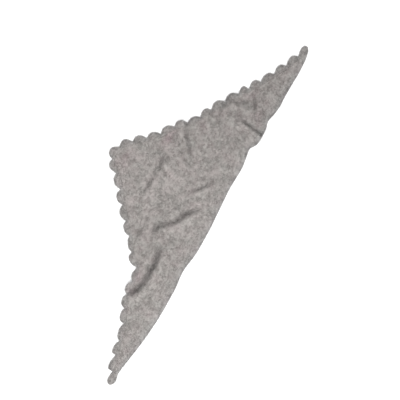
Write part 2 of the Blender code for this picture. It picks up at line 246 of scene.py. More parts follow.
# How far in from a rim the cloth lies still, with no waves, and the share of the finer waves and lumps
CALM_RIM = 1.5
FINE_WAVES = 0.5
FINE_LUMPS = 0.6

# Fields of noise over the plan: how long their lumps are along X and along Y, and a seed
WOBBLE_X = (1.5, 1.5, 60.0)
WOBBLE_Y = (1.5, 1.5, 90.0)
RIM_FIELD = (5.0, 5.0, 12.0)
WAVE_FIELDS = ((9.0, 7.0, 3.0), (4.5, 4.0, 8.0))
LUMP_FIELDS = ((1.05, 0.8, 21.0), (0.6, 0.5, 40.0))

# The stitches on a rim and over a seam: the step from one to the next, their width, height and length, how
# they lean and how far in they lie, then how high both sit in the wall, how bowed and how shaded they are
CORD_STEP = 0.5
CORD_SIZE = (0.28, 0.28, 0.72)
CORD_LEAN = math.radians(28)
CORD_INSET = 0.22
SEAM_STEP = 0.55
SEAM_SIZE = (0.24, 0.2, 0.75)
SEAM_LEAN = math.pi / 2 - math.radians(22)
STITCH_HEIGHT = 0.82 * WALL
STITCH_BOW = 0.3
STITCH_SHADE = 0.97

# The loose fibres: half their width, the range of their widths and lengths, how far they bend sideways and
# up, how far their roots stand off, and how their directions turn over the cloth
FIBRE_RADIUS = 0.03
FIBRE_WIDTHS = (0.7, 1.4)
FIBRE_LENGTHS = (0.5, 1.35)
FIBRE_BOW = 0.28
FIBRE_RISE = 0.1
FIBRE_ROOT = 0.02
FIBRE_TURN = math.pi * 1.5
FIBRE_TURN_SIZE = (3.0, 2.4)
FIBRE_SPREAD = 0.7

# The tones of the fibres: the share that drifts over the cloth, the size of that drift and its field's seed
# beyond the piece's own, and the share that is each fibre's own
TONE_DRIFT = 0.7
TONE_SIZE = (1.0, 0.8)
TONE_SEED = 5.0
TONE_SPREAD = 0.3

# The fibres that stand off a rim: how many to a centimetre, how far their directions spread, how far out
# from the rim and how high over the cloth's own rise they start
RIM_FIBRES = 6
RIM_SPREAD = 0.6
RIM_OUT = (-0.45, 0.05)
RIM_HEIGHTS = (0.08, 0.28)

# The steps along a curve and to both sides of a place whose slope is taken, how near two pieces touch, how
# far up a face's normal points on the upper side and where a fibre grows, and what counts as no area
LINE_STEP = 0.9
SLOPE_STEP = 0.05
TOUCHING = 0.1
UPPER_SIDE = 0.02
FIBRE_SIDE = 0.25
SMALLEST_AREA = 1e-9

# One row for each run of edging and each leaf: its node, the cloth's name, slot and painted shade, which
# darkens its whole wool, then the width and length it was cut to and its flat area, in metres. A piece longer
# than LONG_EDGING edges a whole side.
Edging = namedtuple("Edging", "node cloth slot shade width length area")
LONG_EDGING = 0.1
EDGINGS = [
    Edging("edging_left", "scallops_left", "edging_knit", 0.99, 0.031, 0.84, 0.0193),
    Edging("edging_right", "scallops_right", "edging_knit", 0.98, 0.031, 0.80, 0.0184),
    Edging("apex_scallop", "scallop_back", "edging_knit", 0.99, 0.035, 0.056, 0.0014),
    Edging("end_leaf_left", "leaf_left", "leaf_knit", 0.98, 0.03, 0.052, 0.00142),
    Edging("end_leaf_right", "leaf_right", "leaf_knit", 0.96, 0.03, 0.052, 0.0015),
]

# The layers of the melange: how each noise is stretched, its scale, detail, roughness and distortion, then
# its weight in the wool's colour and in its relief
Layer = namedtuple("Layer", "stretch scale detail roughness distortion colour relief")
DRIFT = Layer((1.0, 1.0, 1.0), 23.0, 1.0, 0.5, 0.0, 1.3, 0.0)
BROAD = Layer((1.0, 1.0, 1.0), 42.0, 2.0, 0.5, 0.0, 2.3, 0.0)
CLUMPS = Layer((0.85, 1.1, 1.0), 105.0, 2.0, 0.55, 0.4, 2.7, 0.8)
FIBRES = Layer((0.6, 1.3, 1.0), 420.0, 3.0, 0.6, 0.6, 2.2, 0.5)
CURLS = Layer((1.0, 1.0, 1.0), 85.0, 1.0, 0.5, 1.2, 0.65, 0.3)
CURL_THINNESS = 11.0
LIGHT_SHARE = 0.22

# The detail of the noises that sway the stitches and turn the hue
SOFT_DETAIL = 2.0

# The knit stitches: the scale and width of the sway of their columns and rows, how far their legs slant and
# thin out, and their weight in colour, which paints shade between their legs, and in relief. Then the
# strength and depth of the whole relief.
COLUMN_SWAY = (26.0, 1.6)
ROW_SWAY = (31.0, 1.8)
LEG_SLANT = 1.5
LEG_THINNESS = 0.7
STITCH_PAINTED_SHADE = 0.35
STITCH_RELIEF = 0.8
RELIEF_STRENGTH = 0.7
RELIEF_DEPTH = 1.2 * MM

# The rosier patches: their scale, how far they turn the hue and deepen it, and how deep it is without them
ROSY_SCALE = 24.0
ROSY_HUE = 0.12
ROSY_DEPTH = 0.8
PLAIN_DEPTH = 0.98

# The matt surface and the sheen of wool
WOOL_SURFACE = {
    "Roughness": 0.93,
    "Specular IOR Level": 0.2,
    "Sheen Weight": 0.22,
    "Sheen Roughness": 0.6,
    "Sheen Tint": (0.9, 0.87, 0.85, 1.0),
}

# The photograph's frame in the tables' centimetres: its middle, its width and its upward direction
FRAME_CENTRE = (78.36, 5.83)
FRAME_WIDTH = 153.8
PHOTO_UP = (0.8639, 0.5037)

# The camera's lens and sensor in millimetres, then the floor's reach from the middle and the soft light's
# width and place, in metres
LENS = 100.0
SENSOR = 36.0
FLOOR_REACH = 6.0
FLOOR_ROUGHNESS = 0.9
KEY_SIZE = 2.4
KEY_PLACE = Vector((-1.25, -0.9, 2.4))

# Where the sockets of a colour mix stand among its node's others, since they share their names
MIX_FIRST = 6
MIX_SECOND = 7
MIX_RESULT = 2


def smooth_line(points, step):
    """Points about a step apart on one smooth curve through the given points, in centimetres."""
    knots = [Vector(point) for point in points]
    line = [knots[0]]
    for index in range(len(knots) - 1):
        before = knots[max(index - 1, 0)]
        start, end = knots[index], knots[index + 1]
        after = knots[min(index + 2, len(knots) - 1)]
        count = max(1, round((end - start).length / step)) + 1
        run = interpolate_bezier(start, start + (end - before) / 6, end - (after - start) / 6, end, count)
        line += [point.to_2d() for point in run[1:]]
    return np.array([tuple(point) for point in line])


def nearest_on_line(plan, line):
    """For each plan point: its signed distance from a line, left positive, and its share along it."""
    lengths = np.linalg.norm(np.diff(line, axis=0), axis=1)
    best = np.full(len(plan), np.inf)
    signed = np.zeros(len(plan))
    share = np.zeros(len(plan))
    passed = 0.0
    for start, end, length in zip(line[:-1], line[1:], lengths):
        run = (end - start) / length
        offset = plan - start
        along = np.clip(offset @ run, 0.0, length)
        rest = offset - along[:, None] * run
        distance = np.linalg.norm(rest, axis=1)
        side = np.where(run[0] * rest[:, 1] - run[1] * rest[:, 0] >= 0, 1.0, -1.0)
        closer = distance < best
        best = np.where(closer, distance, best)
        signed = np.where(closer, side * distance, signed)
        share = np.where(closer, (passed + along) / lengths.sum(), share)
        passed += length
    return signed, share


def swell(distance, height, crest, foot):
    """The cross section of one side of a crease: round, steep up to the crest, and a long way down."""
    top = math.hypot(crest, BOTTOM_ROUND) - BOTTOM_ROUND
    rounded = (np.hypot(distance, BOTTOM_ROUND) - BOTTOM_ROUND) / top
    rise = height * np.sin(math.pi / 2 * np.clip(rounded, 0.0, 1.0))
    fall = height * (0.5 + 0.5 * np.cos(math.pi * np.clip((distance - crest) / (foot - crest), 0.0, 1.0)))
    return np.where(distance <= crest, rise, fall)


def fade(share, reach):
    """0 at the end of a crease, 1 once the given share of its length is passed."""
    if reach == 0.0:
        return np.ones_like(share)
    return 0.5 - 0.5 * np.cos(math.pi * np.clip(share / reach, 0.0, 1.0))


def wobbled(plan):
    """Plan points moved a little, so that nothing drawn with them has an even edge."""
    return plan + WOBBLE * np.column_stack([noise_of(plan, *WOBBLE_X), noise_of(plan, *WOBBLE_Y)])


def along_fold(plan, fold):
    """Which plan points lie near a crease, their signed distance from it and its strength there."""
    line = smooth_line(fold.line, LINE_STEP) + FOLD_SHIFT
    reach = max(fold.left_foot, fold.right_foot)
    near = np.all((plan > line.min(axis=0) - reach) & (plan < line.max(axis=0) + reach), axis=1)
    signed, share = nearest_on_line(plan[near], line)
    strength = fade(share, fold.fade_in) * fade(1 - share, fold.fade_out)
    return near, signed, strength * (1 + UNEVEN * np.sin(share * UNEVEN_WAVE + fold.line[0][0]))


def warmth_of(to_rim):
    """How much of its warm hue the wool keeps, less towards a rim."""
    return 1 - PALE_RIM * np.exp(-to_rim / PALE_WIDTH)


def blush_of(plan):
    """How much rosier than the rest the wool is at each plan point."""
    return sum(strength * np.exp(-np.sum(((plan - middle) / size) ** 2, axis=1))
               for middle, size, strength in BLUSHES)


def small_fold(line, height, crest):
    """A row for a small crease, the same on both sides."""
    foot = crest * SMALL_FOOT
    return Fold(line, height, crest, foot, height, crest, foot, SMALL_FADE, SMALL_FADE)


def noise_of(plan, size_x, size_y, seed):
    """Smooth noise from -1 to 1 over the plan, with lumps of the given size in centimetres."""
    return np.array([noise.noise(Vector((x / size_x, y / size_y, seed))) for x, y in plan])


def lift(plan):
    """How far the cloth stands off the surface it lies on, for an array of plan points."""
    height = np.zeros(len(plan))
    moved = wobbled(plan)
    for fold in ALL_FOLDS:
        near, signed, strength = along_fold(moved, fold)
        left = swell(signed, fold.left_height, fold.left_crest, fold.left_foot)
        right = swell(-signed, fold.right_height, fold.right_crest, fold.right_foot)
        height[near] += strength * np.where(signed > 0, left, right)
    for centre in DOMES:
        share = np.linalg.norm(plan - np.array(centre), axis=1) / DOME_RADIUS
        height += SCALLOP_DOME * np.clip(1 - share * share, 0.0, 1.0) ** 2
    return height


def brushed(plan):
    """How much darker each plan point is painted, in patches of painted shade, and lighter where painted
    light is laid.
    """
    depth = np.zeros(len(plan))
    moved = wobbled(plan)
    for points, strength, width in PAINTED_SHADES:
        distance, share = nearest_on_line(moved, smooth_line(points, LINE_STEP))
        ends = fade(share, SMALL_FADE) * fade(1 - share, SMALL_FADE)
        depth += strength * (END_SHADE + (1 - END_SHADE) * ends) * np.exp(-(distance / width) ** 2)
    return depth


def crease_shade(plan):
    """How much painted shade each plan point gets in the bottom of a crease, from 0 to 1."""
    depth = np.zeros(len(plan))
    moved = wobbled(plan)
    for fold in ALL_FOLDS:
        near, signed, strength = along_fold(moved, fold)
        bottom = min((fold.left_height + fold.right_height) / 2, HOLLOW_FULL) ** HOLLOW_POWER
        width = HOLLOW_WIDTH * (fold.left_crest + fold.right_crest) / 2
        depth[near] += bottom * strength * np.exp(-(signed / width) ** 2)
    return np.clip(depth, 0.0, 1.0)


def painted_shade_of(plan, to_rim):
    """The painted light and shade of the pile: painted shade in the bottom of a crease, along a rim and in
    patches, painted light on a crest and in a few patches.
    """
    rim = np.exp(-((to_rim - RIM_LINE) / RIM_WIDTH) ** 2) * (1 + RIM_UNEVEN * noise_of(plan, *RIM_FIELD))
    crest = CREST_PAINTED_LIGHT * np.clip(lift(plan), 0.0, 1.0)
    return 1 + crest - RIM_PAINTED_SHADE * rim - HOLLOW_PAINTED_SHADE * crease_shade(plan) - brushed(plan)


ALL_FOLDS = list(MAIN_FOLDS.values()) + [small_fold(*row) for row in SMALL_CREASES]


def merged_copy(node_name):
    """The solid's mesh as a bmesh whose loose triangles are joined."""
    mesh = bmesh.new()
    mesh.from_mesh(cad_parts[node_name].data)
    bmesh.ops.remove_doubles(mesh, verts=mesh.verts[:], dist=JOINED)
    mesh.normal_update()
    return mesh


def upper_rim(node_name):
    """The edge of a solid's upper side as a closed ring of plan points, anticlockwise."""
    mesh = merged_copy(node_name)
    follows = {}
    for face in mesh.faces:
        if face.normal.z < UPPER_SIDE:
            continue
        for loop in face.loops:
            beyond = loop.link_loop_radial_next.face
            if beyond.normal.z < UPPER_SIDE:
                follows[loop.vert.index] = loop.link_loop_next.vert.index
    mesh.verts.ensure_lookup_table()
    ring = [next(iter(follows))]
    while follows[ring[-1]] != ring[0]:
        ring.append(follows[ring[-1]])
    points = [Vector(mesh.verts[index].co.xy) / CM + MIDDLE for index in ring]
    mesh.free()
    return points


def tree_of(points):
    """A search tree over plan points."""
    tree = KDTree(len(points))
    for index, point in enumerate(points):
        tree.insert((point[0], point[1], 0.0), index)
    tree.balance()
    return tree


def ring_runs(ring, other_rings):
    """A ring cut in two: the stretch that touches no other piece, and the rest, which is its seam."""
    tree = tree_of([point for other in other_rings for point in densely(other + other[:1])])
    free = [tree.find((point.x, point.y, 0.0))[2] > TOUCHING for point in ring]
    start = next(i for i in range(len(ring)) if free[i] and not free[i - 1])
    turned, free = ring[start:] + ring[:start], free[start:] + free[:start]
    end = free.index(False)
    return turned[:end], turned[end:]


def densely(points, step=0.1):
    """Points no more than a step apart along a line of plan points."""
    dense = []
    for start, end in zip(points, points[1:]):
        count = max(1, math.ceil((end - start).length / step))
        dense += [start.lerp(end, i / count) for i in range(count)]
    return dense + [points[-1]]


EDGING_NODES = ("edging_right", "apex_scallop", "edging_left")
LEAF_NODES = ("end_leaf_left", "end_leaf_right")
RINGS = {name: upper_rim(name) for name in ("body_panel",) + EDGING_NODES + LEAF_NODES}


def runs_of(name):
    """The free rim and the seam of one piece."""
    return ring_runs(RINGS[name], [ring for other, ring in RINGS.items() if other != name])


RIMS = {name: runs_of(name)[0] for name in RINGS}
SEAMS = {name: runs_of(name)[1] for name in RINGS}


def scallops_of(rim):
    """The free rim of an edging cut at its notches, one stretch for each scallop."""
    cuts = [0]
    for index in range(1, len(rim) - 1):
        before, after = rim[index] - rim[index - 1], rim[index + 1] - rim[index]
        turn = math.atan2(before.x * after.y - before.y * after.x, before.dot(after))
        if turn < -NOTCH_TURN:
            cuts.append(index)
    cuts.append(len(rim) - 1)
    return [rim[start:end + 1] for start, end in zip(cuts, cuts[1:])]


SCALLOPS = [scallop for name in EDGING_NODES for scallop in scallops_of(RIMS[name])]
DOMES = [(scallop[0] + scallop[-1] + scallop[len(scallop) // 2] * 2) / 4 for scallop in SCALLOPS]


class ShawlKnit(bpy.types.PropertyGroup):
    """Sizes and colours of the knit."""

    light_wool: FloatVectorProperty(
        name="Light wool", description="Colour of the light fibres", subtype="COLOR", size=3,
        min=0.0, max=1.0, default=(0.355, 0.331, 0.317))
    dark_wool: FloatVectorProperty(
        name="Dark wool", description="Colour of the dark fibres", subtype="COLOR", size=3,
        min=0.0, max=1.0, default=(0.2, 0.183, 0.174))
    fibre_wool: FloatVectorProperty(
        name="Fibre wool", description="Colour of the lightest loose fibres", subtype="COLOR", size=3,
        min=0.0, max=1.0, default=(0.58, 0.545, 0.525))
    stitch_width: FloatProperty(
        name="Stitch width", description="From one column of stitches to the next", unit="LENGTH",
        min=0.002, max=0.02, default=0.0056)
    stitch_height: FloatProperty(
        name="Stitch height", description="From one row of stitches to the next", unit="LENGTH",
        min=0.002, max=0.02, default=0.0042)
    lump_height: FloatProperty(
        name="Lump height", description="How far the brushed surface rises and sinks", unit="LENGTH",
        min=0.0, max=0.003, default=0.0005)
    wave_height: FloatProperty(
        name="Wave height", description="How far the cloth lifts between its creases", unit="LENGTH",
        min=0.0, max=0.01, default=0.0026)


class ShawlNap(bpy.types.PropertyGroup):
    """The loose fibres that stand off the knit."""

    fibre_length: FloatProperty(
        name="Fibre length", description="Length of a loose fibre", unit="LENGTH",
        min=0.001, max=0.03, default=0.009)
    panel_fibres: IntProperty(
        name="Panel fibres", description="Loose fibres on the panel", min=0, max=30000, default=26000)
    edging_fibres: IntProperty(
        name="Edging fibres", description="Loose fibres on each side's edging",
        min=0, max=20000, default=2400)
    leaf_fibres: IntProperty(
        name="Leaf fibres", description="Loose fibres on a leaf or on the scallop at the back point",
        min=0, max=2000, default=110)


class ShawlStage(bpy.types.PropertyGroup):
    """The floor and the light."""

    floor_colour: FloatVectorProperty(
        name="Floor colour", description="Colour of the plain floor", subtype="COLOR", size=3,
        min=0.0, max=1.0, default=(0.9, 0.9, 0.9))
    key_power: FloatProperty(
        name="Key light", description="Strength of the large soft light", unit="POWER",
        min=0.0, max=2000.0, default=47.0)
    fill: FloatProperty(
        name="Fill light", description="Strength of the even light from all round",
        min=0.0, max=5.0, default=1.14)


class Wire:
    """A node socket in Python expressions, which add Math nodes to the finish."""

    def __init__(self, finish, socket):
        self.finish = finish
        self.socket = socket

    def __add__(self, other):
        return self.finish.math("ADD", self, other)

    def __radd__(self, other):
        return self.finish.math("ADD", other, self)

    def __sub__(self, other):
        return self.finish.math("SUBTRACT", self, other)

    def __rsub__(self, other):
        return self.finish.math("SUBTRACT", other, self)

    def __mul__(self, other):
        return self.finish.math("MULTIPLY", self, other)

    def __truediv__(self, other):
        return self.finish.math("DIVIDE", self, other)

    def __pow__(self, other):
        return self.finish.math("POWER", self, other)


class Finish:
    """One procedural material, with a Principled BSDF as its shader."""

    def __init__(self, name):
        self.material = bpy.data.materials.new(name)
        self.material.use_nodes = True
        self.tree = self.material.node_tree
        self.shader = self.tree.nodes["Principled BSDF"]

    def node(self, kind, settings=None, inputs=None, output=0):
        """Any node: its settings are set first, then its sockets' values or links."""
        node = self.tree.nodes.new(kind)
        for name, value in (settings or {}).items():
            setattr(node, name, value)
        for name, value in (inputs or {}).items():
            self.feed(node.inputs[name], value)
        return Wire(self, node.outputs[output])

    def feed(self, socket, value):
        """Links a wire to a socket, or sets the socket to a value."""
        if isinstance(value, Wire):
            self.tree.links.new(value.socket, socket)
        else:
            socket.default_value = value

    def math(self, operation, *values):
        """A Math node on one value or two."""
        return self.node("ShaderNodeMath", {"operation": operation}, dict(enumerate(values)))

    def clamped(self, value):
        """A value kept between 0 and 1."""
        return self.node("ShaderNodeClamp", None, {"Value": value})

    def place(self):
        """Where a point of the surface lies on its object."""
        return self.node("ShaderNodeTexCoord", output="Object")

    def attribute(self, name):
        """A number stored on the mesh."""
        return self.node("ShaderNodeAttribute", {"attribute_name": name}, output="Fac")

    def mix_colours(self, factor, first, second):
        """The first colour where the factor is 0, the second where it is 1."""
        sockets = {0: factor, MIX_FIRST: (*first, 1.0), MIX_SECOND: (*second, 1.0)}
        return self.node("ShaderNodeMix", {"data_type": "RGBA"}, sockets, output=MIX_RESULT)

    def noise(self, place, scale, detail, roughness=0.5, distortion=0.0):
        """Smooth noise from 0 to 1."""
        return self.node("ShaderNodeTexNoise", None, {
            "Vector": place, "Scale": scale, "Detail": detail, "Roughness": roughness,
            "Distortion": distortion})

    def layer(self, place, row):
        """The noise of one layer of the melange."""
        stretched = self.node("ShaderNodeMapping", None, {"Vector": place, "Scale": row.stretch})
        return self.noise(stretched, row.scale, row.detail, row.roughness, row.distortion)

    def dye(self, place, wool, shade=1.0):
        """Feeds the wool's colour, darkened and lightened by its painted shade and painted light, greyer at
        the rims and with rosier patches.
        """
        rosy = self.noise(place, ROSY_SCALE, SOFT_DETAIL) - 0.5 + self.attribute("blush")
        tinted = self.node("ShaderNodeHueSaturation", None, {
            "Color": wool,
            "Value": self.attribute("shade") * shade,
            "Hue": 0.5 - rosy * ROSY_HUE,
            "Saturation": self.attribute("warmth") * (PLAIN_DEPTH + rosy * ROSY_DEPTH)})
        self.feed(self.shader.inputs["Base Color"], tinted)

    def woollen(self):
        """Sets the matt surface and the sheen of wool, and hands back the material."""
        for name, value in WOOL_SURFACE.items():
            self.feed(self.shader.inputs[name], value)
        return self.material


def swayed(finish, place, sway):
    """Noise round 0, which moves the stitches off their even rows."""
    scale, width = sway
    return (finish.noise(place, scale, SOFT_DETAIL) - 0.5) * width


def stitch_pattern(finish, place, knit):
    """Rows of stitches from 0 to 1, each with two legs that slant towards the middle of its column."""
    along = finish.node("ShaderNodeSeparateXYZ", None, {"Vector": place}, output="X")
    across = finish.node("ShaderNodeSeparateXYZ", None, {"Vector": place}, output="Y")
    column = across / knit.stitch_width + swayed(finish, place, COLUMN_SWAY)
    row = along / knit.stitch_height + swayed(finish, place, ROW_SWAY)
    from_middle = finish.math("ABSOLUTE", finish.math("FRACT", column) - 0.5)
    leg = finish.math("FRACT", row + from_middle * LEG_SLANT)
    round_leg = 1.0 - (leg * 2.0 - 1.0) ** 2.0
    leg_width = 1.0 - (from_middle * 4.0 - 1.0) ** 2.0 * LEG_THINNESS
    return round_leg * leg_width


def knit_finish(name, knit, shade=1.0):
    """Brushed melange wool: mixed fibres, curls of lighter yarn and rows of small stitches."""
    finish = Finish(name)
    place = finish.place()
    stitches = stitch_pattern(finish, place, knit)
    drift, broad, clumps, fibres, curl = (
        finish.layer(place, row) for row in (DRIFT, BROAD, CLUMPS, FIBRES, CURLS))
    curls = finish.clamped(1.0 - finish.math("ABSOLUTE", curl - 0.5) * CURL_THINNESS)

    large = (clumps - 0.5) * CLUMPS.colour + (broad - 0.5) * BROAD.colour + (drift - 0.5) * DRIFT.colour
    # The stitches' weight in colour is painted shade between their legs
    small = (fibres - 0.5) * FIBRES.colour + curls * CURLS.colour + stitches * STITCH_PAINTED_SHADE
    lightness = finish.clamped(large + small + LIGHT_SHARE)
    finish.dye(place, finish.mix_colours(lightness, knit.dark_wool, knit.light_wool), shade)

    relief = stitches * STITCH_RELIEF + clumps * CLUMPS.relief
    relief = relief + fibres * FIBRES.relief + curls * CURLS.relief
    bump = finish.node("ShaderNodeBump", None, {
        "Strength": RELIEF_STRENGTH, "Distance": RELIEF_DEPTH, "Height": relief})
    finish.feed(finish.shader.inputs["Normal"], bump)
    return finish.woollen()


def nap_finish(name, knit):
    """Single fibres, each of its own grey."""
    finish = Finish(name)
    wool = finish.mix_colours(finish.attribute("tone"), knit.dark_wool, knit.fibre_wool)
    finish.dye(finish.place(), wool)
    return finish.woollen()


def plan_of(mesh):
    """The plan points of a mesh, in the tables' centimetres, and its vertices' positions in metres."""
    place = np.empty(len(mesh.vertices) * 3)
    mesh.vertices.foreach_get("co", place)
    place = place.reshape(-1, 3)
    return place[:, :2] / CM + np.array(MIDDLE), place


def put_attribute(mesh, name, values):
    """Stores one number for each vertex."""
    mesh.attributes.new(name, "FLOAT", "POINT").data.foreach_set("value", values.astype(np.float32))


def distance_to(plan, points):
    """The distance of each plan point from the nearest of the given points."""
    tree = tree_of(points)
    return np.array([tree.find((x, y, 0.0))[2] for x, y in plan])


def fine_mesh(node_name, piece_name):
    """A solid's mesh, subdivided, with an attribute side: 1 on the upper side and -1 on the lower."""
    mesh = merged_copy(node_name)
    side = mesh.verts.layers.float.new("side")
    for vert in mesh.verts:
        vert[side] = 1.0 if vert.normal.z > 0 else -1.0
    bmesh.ops.subdivide_edges(mesh, edges=mesh.edges[:], cuts=1, use_grid_fill=True)
    upper = [edge for edge in mesh.edges if min(vert[side] for vert in edge.verts) >= 0.0]
    bmesh.ops.subdivide_edges(mesh, edges=upper, cuts=2, use_grid_fill=True)
    bmesh.ops.triangulate(mesh, faces=mesh.faces[:])
    data = bpy.data.meshes.new(piece_name)
    mesh.to_mesh(data)
    mesh.free()
    return data


def two_fields(plan, fields, fine_share):
    """A broad field of noise with a share of a finer one."""
    broad, fine = fields
    return noise_of(plan, *broad) + fine_share * noise_of(plan, *fine)


def slope_of(plan, step):
    """How steeply the cloth rises at each plan point, along a small step."""
    return (lift(plan + step) - lift(plan - step)) / (2 * SLOPE_STEP)


def knit_shell(node_name, piece_name, material, knit):
    """A fine shell on the form of a solid, laid over every crease, with round edges."""
    data = fine_mesh(node_name, piece_name)
    plan, place = plan_of(data)
    sides = np.empty(len(plan))
    data.attributes["side"].data.foreach_get("value", sides)
    slope_x = slope_of(plan, (SLOPE_STEP, 0))
    slope_y = slope_of(plan, (0, SLOPE_STEP))

    ring = RINGS[node_name]
    to_edge = distance_to(plan, densely(ring + ring[:1]))
    to_rim = distance_to(plan, densely(RIMS[node_name]))
    rim_round = np.sqrt(1 - (1 - np.clip(to_rim / RIM_ROUND, 0.0, 1.0)) ** 2)
    seam_round = np.sqrt(1 - (1 - np.clip(to_edge / SEAM_ROUND, 0.0, 1.0)) ** 2)
    thickness = RIM_FLOOR + (1 - RIM_FLOOR) * np.minimum(rim_round, seam_round)
    half = WALL / 2 * np.sqrt(1 + slope_x ** 2 + slope_y ** 2) * thickness
    wave = np.clip(two_fields(plan, WAVE_FIELDS, FINE_WAVES), 0.0, 1.0)
    calm = np.clip(to_rim / CALM_RIM, 0.0, 1.0)
    middle = WALL / 2 + lift(plan) + wave * calm * knit.wave_height / CM
    lumps = two_fields(plan, LUMP_FIELDS, FINE_LUMPS)
    lumps *= knit.lump_height / CM * np.clip(sides, 0.0, 1.0) * thickness
    place[:, 2] = np.maximum(middle + sides * half + lumps, 0.0) * CM
    data.vertices.foreach_set("co", place.ravel())

    bare = BARE_RIM if node_name == "body_panel" else 0.0
    put_attribute(data, "shade", painted_shade_of(plan, to_rim + bare))
    put_attribute(data, "warmth", warmth_of(to_rim))
    put_attribute(data, "blush", blush_of(plan))
    data.attributes.remove(data.attributes["side"])
    piece = new_piece(piece_name, data, material)
    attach(piece, BODY)
    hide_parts(node_name)
    return piece


def place_of(point, height):
    """A plan point of the tables with its height, in centimetres, as a place in the frame."""
    return Vector(((point[0] - MIDDLE[0]) * CM, (point[1] - MIDDLE[1]) * CM, height * CM))


def new_piece(name, data, material, carrier=None):
    """Links a finished mesh as a piece of the shawl, on another piece if it has a carrier."""
    data.materials.clear()
    data.materials.append(material)
    data.shade_smooth()
    data.update()
    piece = bpy.data.objects.new(name, data)
    bpy.context.scene.collection.objects.link(piece)
    piece.parent = carrier
    return piece


def shape_of(mesh):
    """The places of a small shape's vertices, and its faces, each as corner numbers."""
    mesh.verts.ensure_lookup_table()
    corners = np.array([tuple(vert.co) for vert in mesh.verts])
    faces = np.array([[vert.index for vert in face.verts] for face in mesh.faces])
    mesh.free()
    return corners, faces


def spindle():
    """A three-sided spindle, one unit long and two across."""
    mesh = bmesh.new()
    bmesh.ops.create_cone(mesh, cap_ends=True, segments=3, radius1=1.0, radius2=0.0, depth=0.5)
    base = min(mesh.faces, key=lambda face: face.calc_center_median().z)
    bmesh.ops.poke(mesh, faces=[base], offset=0.5)
    bmesh.ops.translate(mesh, verts=mesh.verts[:], vec=(0.0, 0.0, 0.25))
    mesh.verts.index_update()
    return shape_of(mesh)


def bead():
    """A round bead one unit across."""
    mesh = bmesh.new()
    bmesh.ops.create_icosphere(mesh, subdivisions=1, radius=0.5)
    return shape_of(mesh)


def stamped(name, shape, place, axes, bend):
    """Copies of a small shape joined in one mesh, each with its place, its three axes and its bend."""
    corners, faces = shape
    points = place[:, None, :] + np.einsum("vk,nkc->nvc", corners, axes)
    points += bend[:, None, :] * (1 - 4 * corners[:, 2] ** 2)[None, :, None]
    points[:, :, 2] = np.maximum(points[:, :, 2], 0.0)
    starts = np.arange(len(place))[:, None, None] * len(corners)
    polygons = (faces[None] + starts).reshape(-1, faces.shape[1])
    data = bpy.data.meshes.new(name)
    data.from_pydata(points.reshape(-1, 3) * CM, [], polygons)
    return data


def unit(vectors):
    """Vectors of length one."""
    return vectors / np.linalg.norm(vectors, axis=1)[:, None]


def lying(angles):
    """Level vectors of length one in the given directions."""
    return np.stack([np.cos(angles), np.sin(angles), np.zeros(len(angles))], axis=1)


def scatter(data, count, rng):
    """Random places on the upper side of a mesh, in the tables' centimetres, and the normals there."""
    data.calc_loop_triangles()
    corners = np.empty(len(data.loop_triangles) * 3, dtype=np.int32)
    data.loop_triangles.foreach_get("vertices", corners)
    plan, place = plan_of(data)
    place = np.column_stack([plan, place[:, 2] / CM])
    first, second, third = place[corners.reshape(-1, 3)].transpose(1, 0, 2)
    normals = np.cross(second - first, third - first)
    area = np.linalg.norm(normals, axis=1)
    normals /= np.maximum(area, SMALLEST_AREA)[:, None]
    weight = np.where(normals[:, 2] > FIBRE_SIDE, area, 0.0)
    chosen = rng.choice(len(area), count, p=weight / weight.sum())
    shares = rng.random((2, count))
    shares = np.where(shares.sum(axis=0) > 1, 1 - shares, shares)
    to_second, to_third = (second - first)[chosen], (third - first)[chosen]
    spots = first[chosen] + shares[0, :, None] * to_second + shares[1, :, None] * to_third
    return spots, normals[chosen]


def evenly(points, step):
    """Places at even steps along a line of plan points, and the direction of the line there."""
    dense = np.array([tuple(point) for point in densely(points, step / 10)])
    passed = np.concatenate([[0.0], np.cumsum(np.linalg.norm(np.diff(dense, axis=0), axis=1))])
    stops = np.arange(step / 2, passed[-1], step)
    at = [np.column_stack([np.interp(stops + shift, passed, dense[:, k]) for k in (0, 1)])
          for shift in (0.0, -step / 4, step / 4)]
    return at[0], unit(at[2] - at[1])


def to_left(along):
    """Plan directions turned a quarter to the left, which is into the cloth from its rim."""
    return np.column_stack([-along[:, 1], along[:, 0]])


def raised(plan, height):
    """Plan points with their height, in centimetres, moved to the frame's middle."""
    return np.column_stack([plan - np.array(MIDDLE), height])


def flat(directions):
    """Plan directions as level vectors."""
    return np.column_stack([directions, np.zeros(len(directions))])


def row_of_stitches(name, line, step, inset, size, lean):
    """Beads of yarn side by side along a line of plan points, all leaning one way."""
    plan, along = evenly(line, step)
    inward = to_left(along)
    plan = plan + inward * inset
    long_way = flat(along * math.cos(lean) + inward * math.sin(lean))
    wide_way = flat(inward * math.cos(lean) - along * math.sin(lean))
    upward = np.tile((0.0, 0.0, size[1]), (len(plan), 1))
    axes = np.stack([wide_way * size[0], upward, long_way * size[2]], axis=1)
    place = raised(plan, lift(plan) + STITCH_HEIGHT)
    data = stamped(name, bead(), place, axes, wide_way * size[0] * STITCH_BOW)
    put_attribute(data, "shade", np.full(len(data.vertices), STITCH_SHADE))
    put_attribute(data, "warmth", np.full(len(data.vertices), 1 - PALE_RIM / 2))
    return data


def roots_on_knit(data, count, seed, rng):
    """Roots of fibres all over a piece of knit: their places, the normals there and their directions."""
    spots, up = scatter(data, count, rng)
    turn = FIBRE_TURN * noise_of(spots[:, :2], *FIBRE_TURN_SIZE, seed)
    return spots, up, turn + rng.normal(0.0, FIBRE_SPREAD, count)


